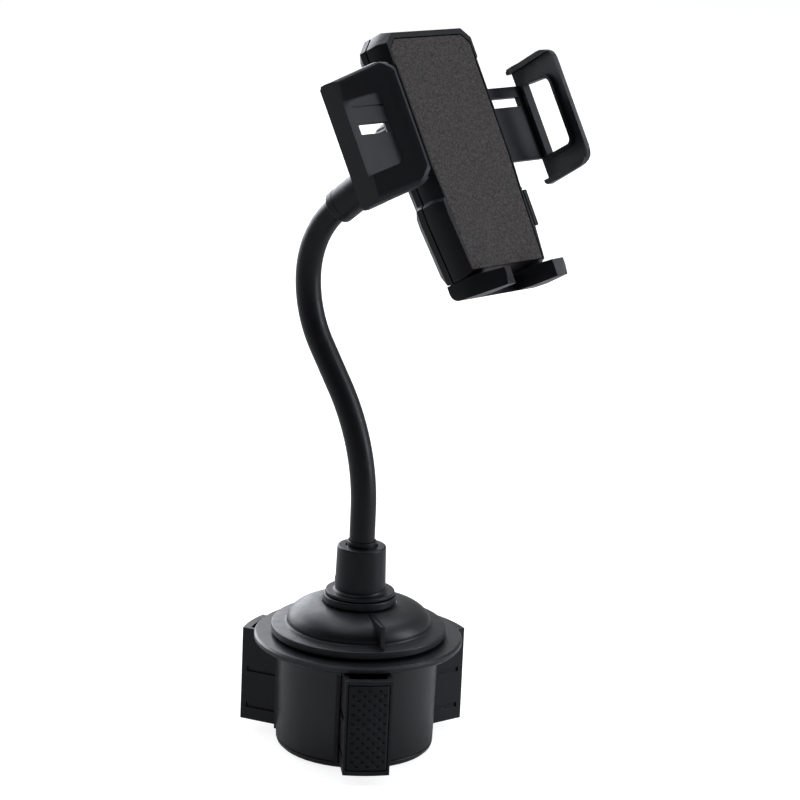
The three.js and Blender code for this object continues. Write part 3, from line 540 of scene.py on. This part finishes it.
def wing_pad(index, angle):
    """A rubber pad whose face is a curved sheet with dimples and a rounded rim."""
    columns, rows, round_off = 66, 144, 0.7
    low, high = PAD_Z
    face_r = WING_FACE_R + PAD_PROUD
    back_r = face_r - PAD_DEPTH
    verts = []
    for i in range(rows):
        z = low + (high - low) * i / (rows - 1)
        for j in range(columns):
            y = -PAD_HALF_WIDTH + 2 * PAD_HALF_WIDTH * j / (columns - 1)
            rim = min(PAD_HALF_WIDTH - abs(y), z - low, high - z)
            fall = round_off - math.sqrt(max(round_off**2 - max(round_off - rim, 0) ** 2, 0))
            r = face_r - dimple(y, z) - fall
            verts.append((math.sqrt(r * r - y * y), y, z))
    front = len(verts)
    for i in (0, rows - 1):
        for j in range(columns):
            x, y, z = verts[i * columns + j]
            verts.append((math.sqrt(back_r**2 - y * y), y, z))
    faces = grid_faces(rows, columns, False, False)
    lower = list(range(front, front + columns))
    upper = list(range(front + columns, front + 2 * columns))
    for j in range(columns - 1):
        faces.append((lower[j], lower[j + 1], j + 1, j))
        top = (rows - 1) * columns + j
        faces.append((top, top + 1, upper[j + 1], upper[j]))
        faces.append((upper[j], upper[j + 1], lower[j + 1], lower[j]))
    left_edge = [i * columns for i in range(rows)]
    right_edge = [i + columns - 1 for i in left_edge]
    faces.append((lower[0], *left_edge, upper[0]))
    faces.append((upper[-1], *reversed(right_edge), lower[-1]))
    at = ROW @ Matrix.Rotation(math.radians(angle), 4, "Z")
    pad = mesh_object(f"wing_grip_{index}", verts, faces, at)
    dress(pad, WING_RUBBER, f"wing_{index}", [f"wing_pad_{index}"])
    soften(pad)


def build_wings():
    for index, angle in enumerate(WING_ANGLES, 1):
        carry(f"wing_{index}", SATIN, 0.35)
        carry(f"wing_pin_{index}", STEEL, 0.15)
        wing_pad(index, angle)


def build_dial():
    dome = through([
        (29.5, 52.8), (29.35, 54.2), (28.0, 56.4), (25.3, 58.5), (21.5, 59.95), (17.5, 60.75), (15.1, 60.95),
    ])
    profile = [
        (4.9, 47.7), (8.2, 47.7), (8.2, 57.5), (14, 57.6), (22, 55.4), (26.5, 52.4), (28, 49.8), (31.5, 48.5),
        *arc(35.4, 48.9, 0.4, -90, 0, 4), *arc(35.2, 50.9, 0.6, 0, 82, 5), (30.6, 52.05),
        *reversed(arc(30.3, 52.9, 0.85, -165, -95, 3)), *dome, (14.2, 60.4), (4.9, 60.3),
    ]
    turned_skin("dial_skin", profile, DIAL, "dial", "dial", segments=144)
    outline = [
        (16, 58), (16, 61.3), *reversed(arc(32.6, 60.5, 0.95, 0, 90, 5)), (33.55, 51.6), (31, 50.9), (27, 53),
        (20, 57),
    ]
    upright = Matrix.Rotation(math.pi / 2, 4, "X")
    for i, turn in enumerate((0, 180), 1):
        at = ROW @ Matrix.Rotation(math.radians(FIN_ANGLE + turn), 4, "Z") @ upright
        fin = plate(f"dial_fin_{i}", outline, -FIN_HALF_THICKNESS, FIN_HALF_THICKNESS, at)
        dress(fin, DIAL, "dial")
        soften(fin, 0.3, 3)
    carry("scroll_plate", NYLON, 0.2)
    carry("thrust_washer", NYLON)


# ---- gooseneck ----------------------------------------------------------------------------------


def sleeve(name, start, end, sides=40, step=1.6):
    """A length of the neck's sleeve: a thin tube between two distances along the neck."""
    rings = max(int((end - start) / step), 4)
    sideways = Vector((1, 0, 0))
    verts = []
    for radius in (NECK_R, NECK_BORE_R):
        for i in range(rings + 1):
            centre, direction = neck_at(start + (end - start) * i / rings)
            up = direction.cross(sideways)
            for k in range(sides):
                angle = 2 * math.pi * k / sides
                verts.append(centre + radius * (math.cos(angle) * sideways + math.sin(angle) * up))
    bore = (rings + 1) * sides
    last = rings * sides
    outer = grid_faces(rings + 1, sides, False, True)
    inner = [tuple(bore + v for v in reversed(face)) for face in outer]
    ends = []
    for k in range(sides):
        n = (k + 1) % sides
        ends.append((n, k, bore + k, bore + n))
        ends.append((last + k, last + n, bore + last + n, bore + last + k))
    return mesh_object(name, verts, outer + inner + ends)


def build_neck():
    """The sleeve in four lengths, each running across one joint, with the CAD core inside."""
    halfway = [(a + b) / 2 for a, b in zip(NECK_JOINTS, NECK_JOINTS[1:])]
    stops = [0.5, *halfway, NECK_LENGTH]
    bodies = ["base", "neck_2", "neck_3", "neck_4", "neck_5"]
    links = [[f"gooseneck_link_{i}"] for i in (1, 2, 3)] + [["gooseneck_link_4", "gooseneck_link_5"]]
    for i, joint in enumerate(NECK_JOINTS):
        piece = sleeve(f"neck_sleeve_{i + 1}", stops[i], stops[i + 1])
        dress(piece, SLEEVE, None, links[i])
        centre, direction = neck_at(joint)
        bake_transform(piece)
        soften(piece)
    for i in range(1, len(bodies) + 1):
        carry(f"gooseneck_core_{i}", STEEL)


# ---- ball joint ---------------------------------------------------------------------------------


def knurl(angle, r, z):
    """The grooves between the lock nut's grip ribs, on its outer wall only."""
    if r < 12.5 or not -4.0 < z < 6.6:
        return 0
    return -NUT_RIB_DEPTH * (0.5 - 0.5 * math.cos(NUT_RIBS * angle)) ** 2


def build_ball_joint():
    ferrule = [
        (5.5, 0), *arc(6.7, 0.4, 0.4, -90, 0, 4), (7.1, 3.4), (6.95, 3.55), (6.95, 3.95), (7.1, 4.1),
        *arc(5.6, 22.5, 1.5, 0, 90, 6), (3.3, 24), (3.3, 15.5), (5.5, 14.4),
    ]
    turned_skin("upper_ferrule_skin", ferrule, SATIN, "neck_5", "upper_ferrule", STEM)
    below = math.sqrt(BALL_R**2 - STEM_R**2)
    start = math.degrees(math.atan2(-below, STEM_R))
    stud = [(0.02, 16), (STEM_R, 16), *arc(0, BALL_DISTANCE, BALL_R, start, 89.8, 20)]
    turned_skin("ball_stud_skin", stud, SATIN, "neck_5", "ball_stud", STEM, 64)
    for node in ("liner_front", "liner_rear"):
        carry(node, NYLON)
    carry("ball_socket", SATIN, 0.2)
    nut = [
        *reversed(arc(0, 0, 9.0, -34, 0, 8)), (7.9, -5.5), (12.4, -5.5), *arc(13.2, -4.7, 0.8, -90, 0, 3),
        (14, -3.4), (14, 1.5), (14, 6.4), *arc(13.2, 6.8, 0.8, 0, 90, 3), (11.5, 7.6), (11.5, 0),
    ]
    turned_skin("lock_nut_skin", nut, SATIN, "nut", "locking_nut", AT_BALL, 192, knurl)


# ---- cradle -------------------------------------------------------------------------------------


def build_cradle():
    carry("front_shell", SATIN, 0.35, flatten=False)
    carry("back_shell", SATIN, 0.4, flatten=False)
    carry("face_pad", PAD, 0.35)
    for node in ("left_arm", "right_arm"):
        carry(node, ARM, 0.3, flatten=False)
    carry("release_button", SATIN, 0.35)
    carry("foot_support", SATIN, 0.6, 3)
    for node in ("pinion_gear", "ratchet_pawl"):
        carry(node, NYLON, 0.1)
    for node in ("pinion_pin", "pawl_pin", "arm_spring_left", "arm_spring_right", "button_spring"):
        carry(node, STEEL)
    for i, (x, y) in enumerate(SHELL_SCREWS, 1):
        at = CRADLE @ Matrix.Translation((x, y, SHELL_SCREW_HEAD_Z))
        cross_head(f"cradle_screw_{i}", 2.1, 1.8, 0.75, 11.7, at, "cradle", f"shell_screw_{i}")


# ---- floor, light and camera --------------------------------------------------------------------
CAMERA_AZIMUTH = 52.36
CAMERA_DISTANCE = 1.25
CAMERA_ELEVATION = 21.435
CAMERA_YAW = 0.6355
CAMERA_PITCH = 14.926
CAMERA_ROLL = -2.5212
CAMERA_LENS = 135.07
FLOOR_HALF_SIZE = 6.0
LIGHT_COLOR = (0.9, 0.94, 1.0)


def to_row():
    """Turns the stage's axes, where the camera looks along +Y, into the row's."""
    return Matrix.Rotation(-math.radians(CAMERA_AZIMUTH), 4, "Z")


def build_camera():
    data = bpy.data.cameras.new("camera")
    data.lens = CAMERA_LENS
    data.sensor_width = 36
    data.clip_end = 20
    camera = bpy.data.objects.new("camera", data)
    bpy.context.scene.collection.objects.link(camera)
    level = Matrix(((1, 0, 0), (0, 0, 1), (0, -1, 0)))
    turn = (
        Matrix.Rotation(math.radians(CAMERA_ROLL), 3, "Z")
        @ Matrix.Rotation(math.radians(CAMERA_PITCH), 3, "X")
        @ Matrix.Rotation(math.radians(CAMERA_YAW), 3, "Y")
        @ level
    )
    lift = math.radians(CAMERA_ELEVATION)
    place = Vector((0, -CAMERA_DISTANCE * math.cos(lift), CAMERA_DISTANCE * math.sin(lift)))
    camera.matrix_world = to_row() @ Matrix.Translation(place) @ turn.transposed().to_4x4()
    bpy.context.scene.camera = camera


def area_light(name, place, aim, power, width, height):
    """A soft box at a place on the stage, in metres and watts, that points at aim."""
    data = bpy.data.lights.new(name, "AREA")
    data.shape = "RECTANGLE"
    data.size = width
    data.size_y = height
    data.energy = power
    data.color = LIGHT_COLOR
    light = bpy.data.objects.new(name, data)
    bpy.context.scene.collection.objects.link(light)
    direction = Vector(aim) - Vector(place)
    turned = direction.to_track_quat("-Z", "Y").to_matrix().to_4x4()
    light.matrix_world = to_row() @ Matrix.Translation(place) @ turned


def build_floor():
    """Plain pale paper, which also glows for the camera so that the background stays white."""
    half = FLOOR_HALF_SIZE
    floor = block("floor", (-half, -half, -0.02), (half, half, -0.0002), Matrix.Identity(4))
    n = Nodes("floor_paper")
    tone = n.mix(n.span(n.noise(2.5, 2), 0.3, 0.7), (0.4, 0.4, 0.4), (0.42, 0.42, 0.42))
    n.link(tone, n.shader.inputs["Base Color"])
    n.set(Roughness=0.9, Specular_IOR_Level=0.1, Emission_Color=(1, 1, 1, 1))
    seen = n.tree.nodes.new("ShaderNodeLightPath")
    n.link(n.span(seen.outputs["Is Camera Ray"], 0, 1, 0.1, 0.86), n.shader.inputs["Emission Strength"])
    floor.data.materials.append(n.material)


def build_world():
    """White to the camera. As light it is dim, and dimmest on the side that the camera is on."""
    world = bpy.data.worlds.new("studio")
    bpy.context.scene.world = world
    world.use_nodes = True
    tree = world.node_tree
    background = tree.nodes["Background"]
    place = tree.nodes.new("ShaderNodeTexCoord")
    toward = tree.nodes.new("ShaderNodeVectorMath")
    toward.operation = "DOT_PRODUCT"
    toward.inputs[1].default_value = to_row() @ Vector((0, -1, 0))
    tree.links.new(place.outputs["Generated"], toward.inputs[0])
    dim = tree.nodes.new("ShaderNodeMapRange")
    for name, number in (("From Min", -0.2), ("From Max", 0.75), ("To Min", 0.3), ("To Max", 0.04)):
        dim.inputs[name].default_value = number
    tree.links.new(toward.outputs["Value"], dim.inputs["Value"])
    rays = tree.nodes.new("ShaderNodeLightPath")
    shown = tree.nodes.new("ShaderNodeMath")
    shown.operation = "MAXIMUM"
    tree.links.new(dim.outputs["Result"], shown.inputs[0])
    tree.links.new(rays.outputs["Is Camera Ray"], shown.inputs[1])
    tree.links.new(shown.outputs[0], background.inputs["Strength"])
    background.inputs["Color"].default_value = (1, 1, 1, 1)


def build_lights():
    area_light("overhead", (0.0, 0.4, 1.9), (0, 0, 0.1), power=24, width=1.8, height=1.8)
    area_light("left_box", (-0.85, 1.25, 0.6), (0, 0, 0.15), power=28, width=1.7, height=1.0)
    area_light("right_strip", (1.2, -0.13, 0.5), (0, 0, 0.15), power=10, width=0.35, height=1.2)
    bpy.context.scene.view_settings.view_transform = "Standard"


build_base()
build_base_screws()
build_wings()
build_dial()
build_neck()
build_ball_joint()
build_cradle()
build_floor()
build_world()
build_lights()
build_camera()
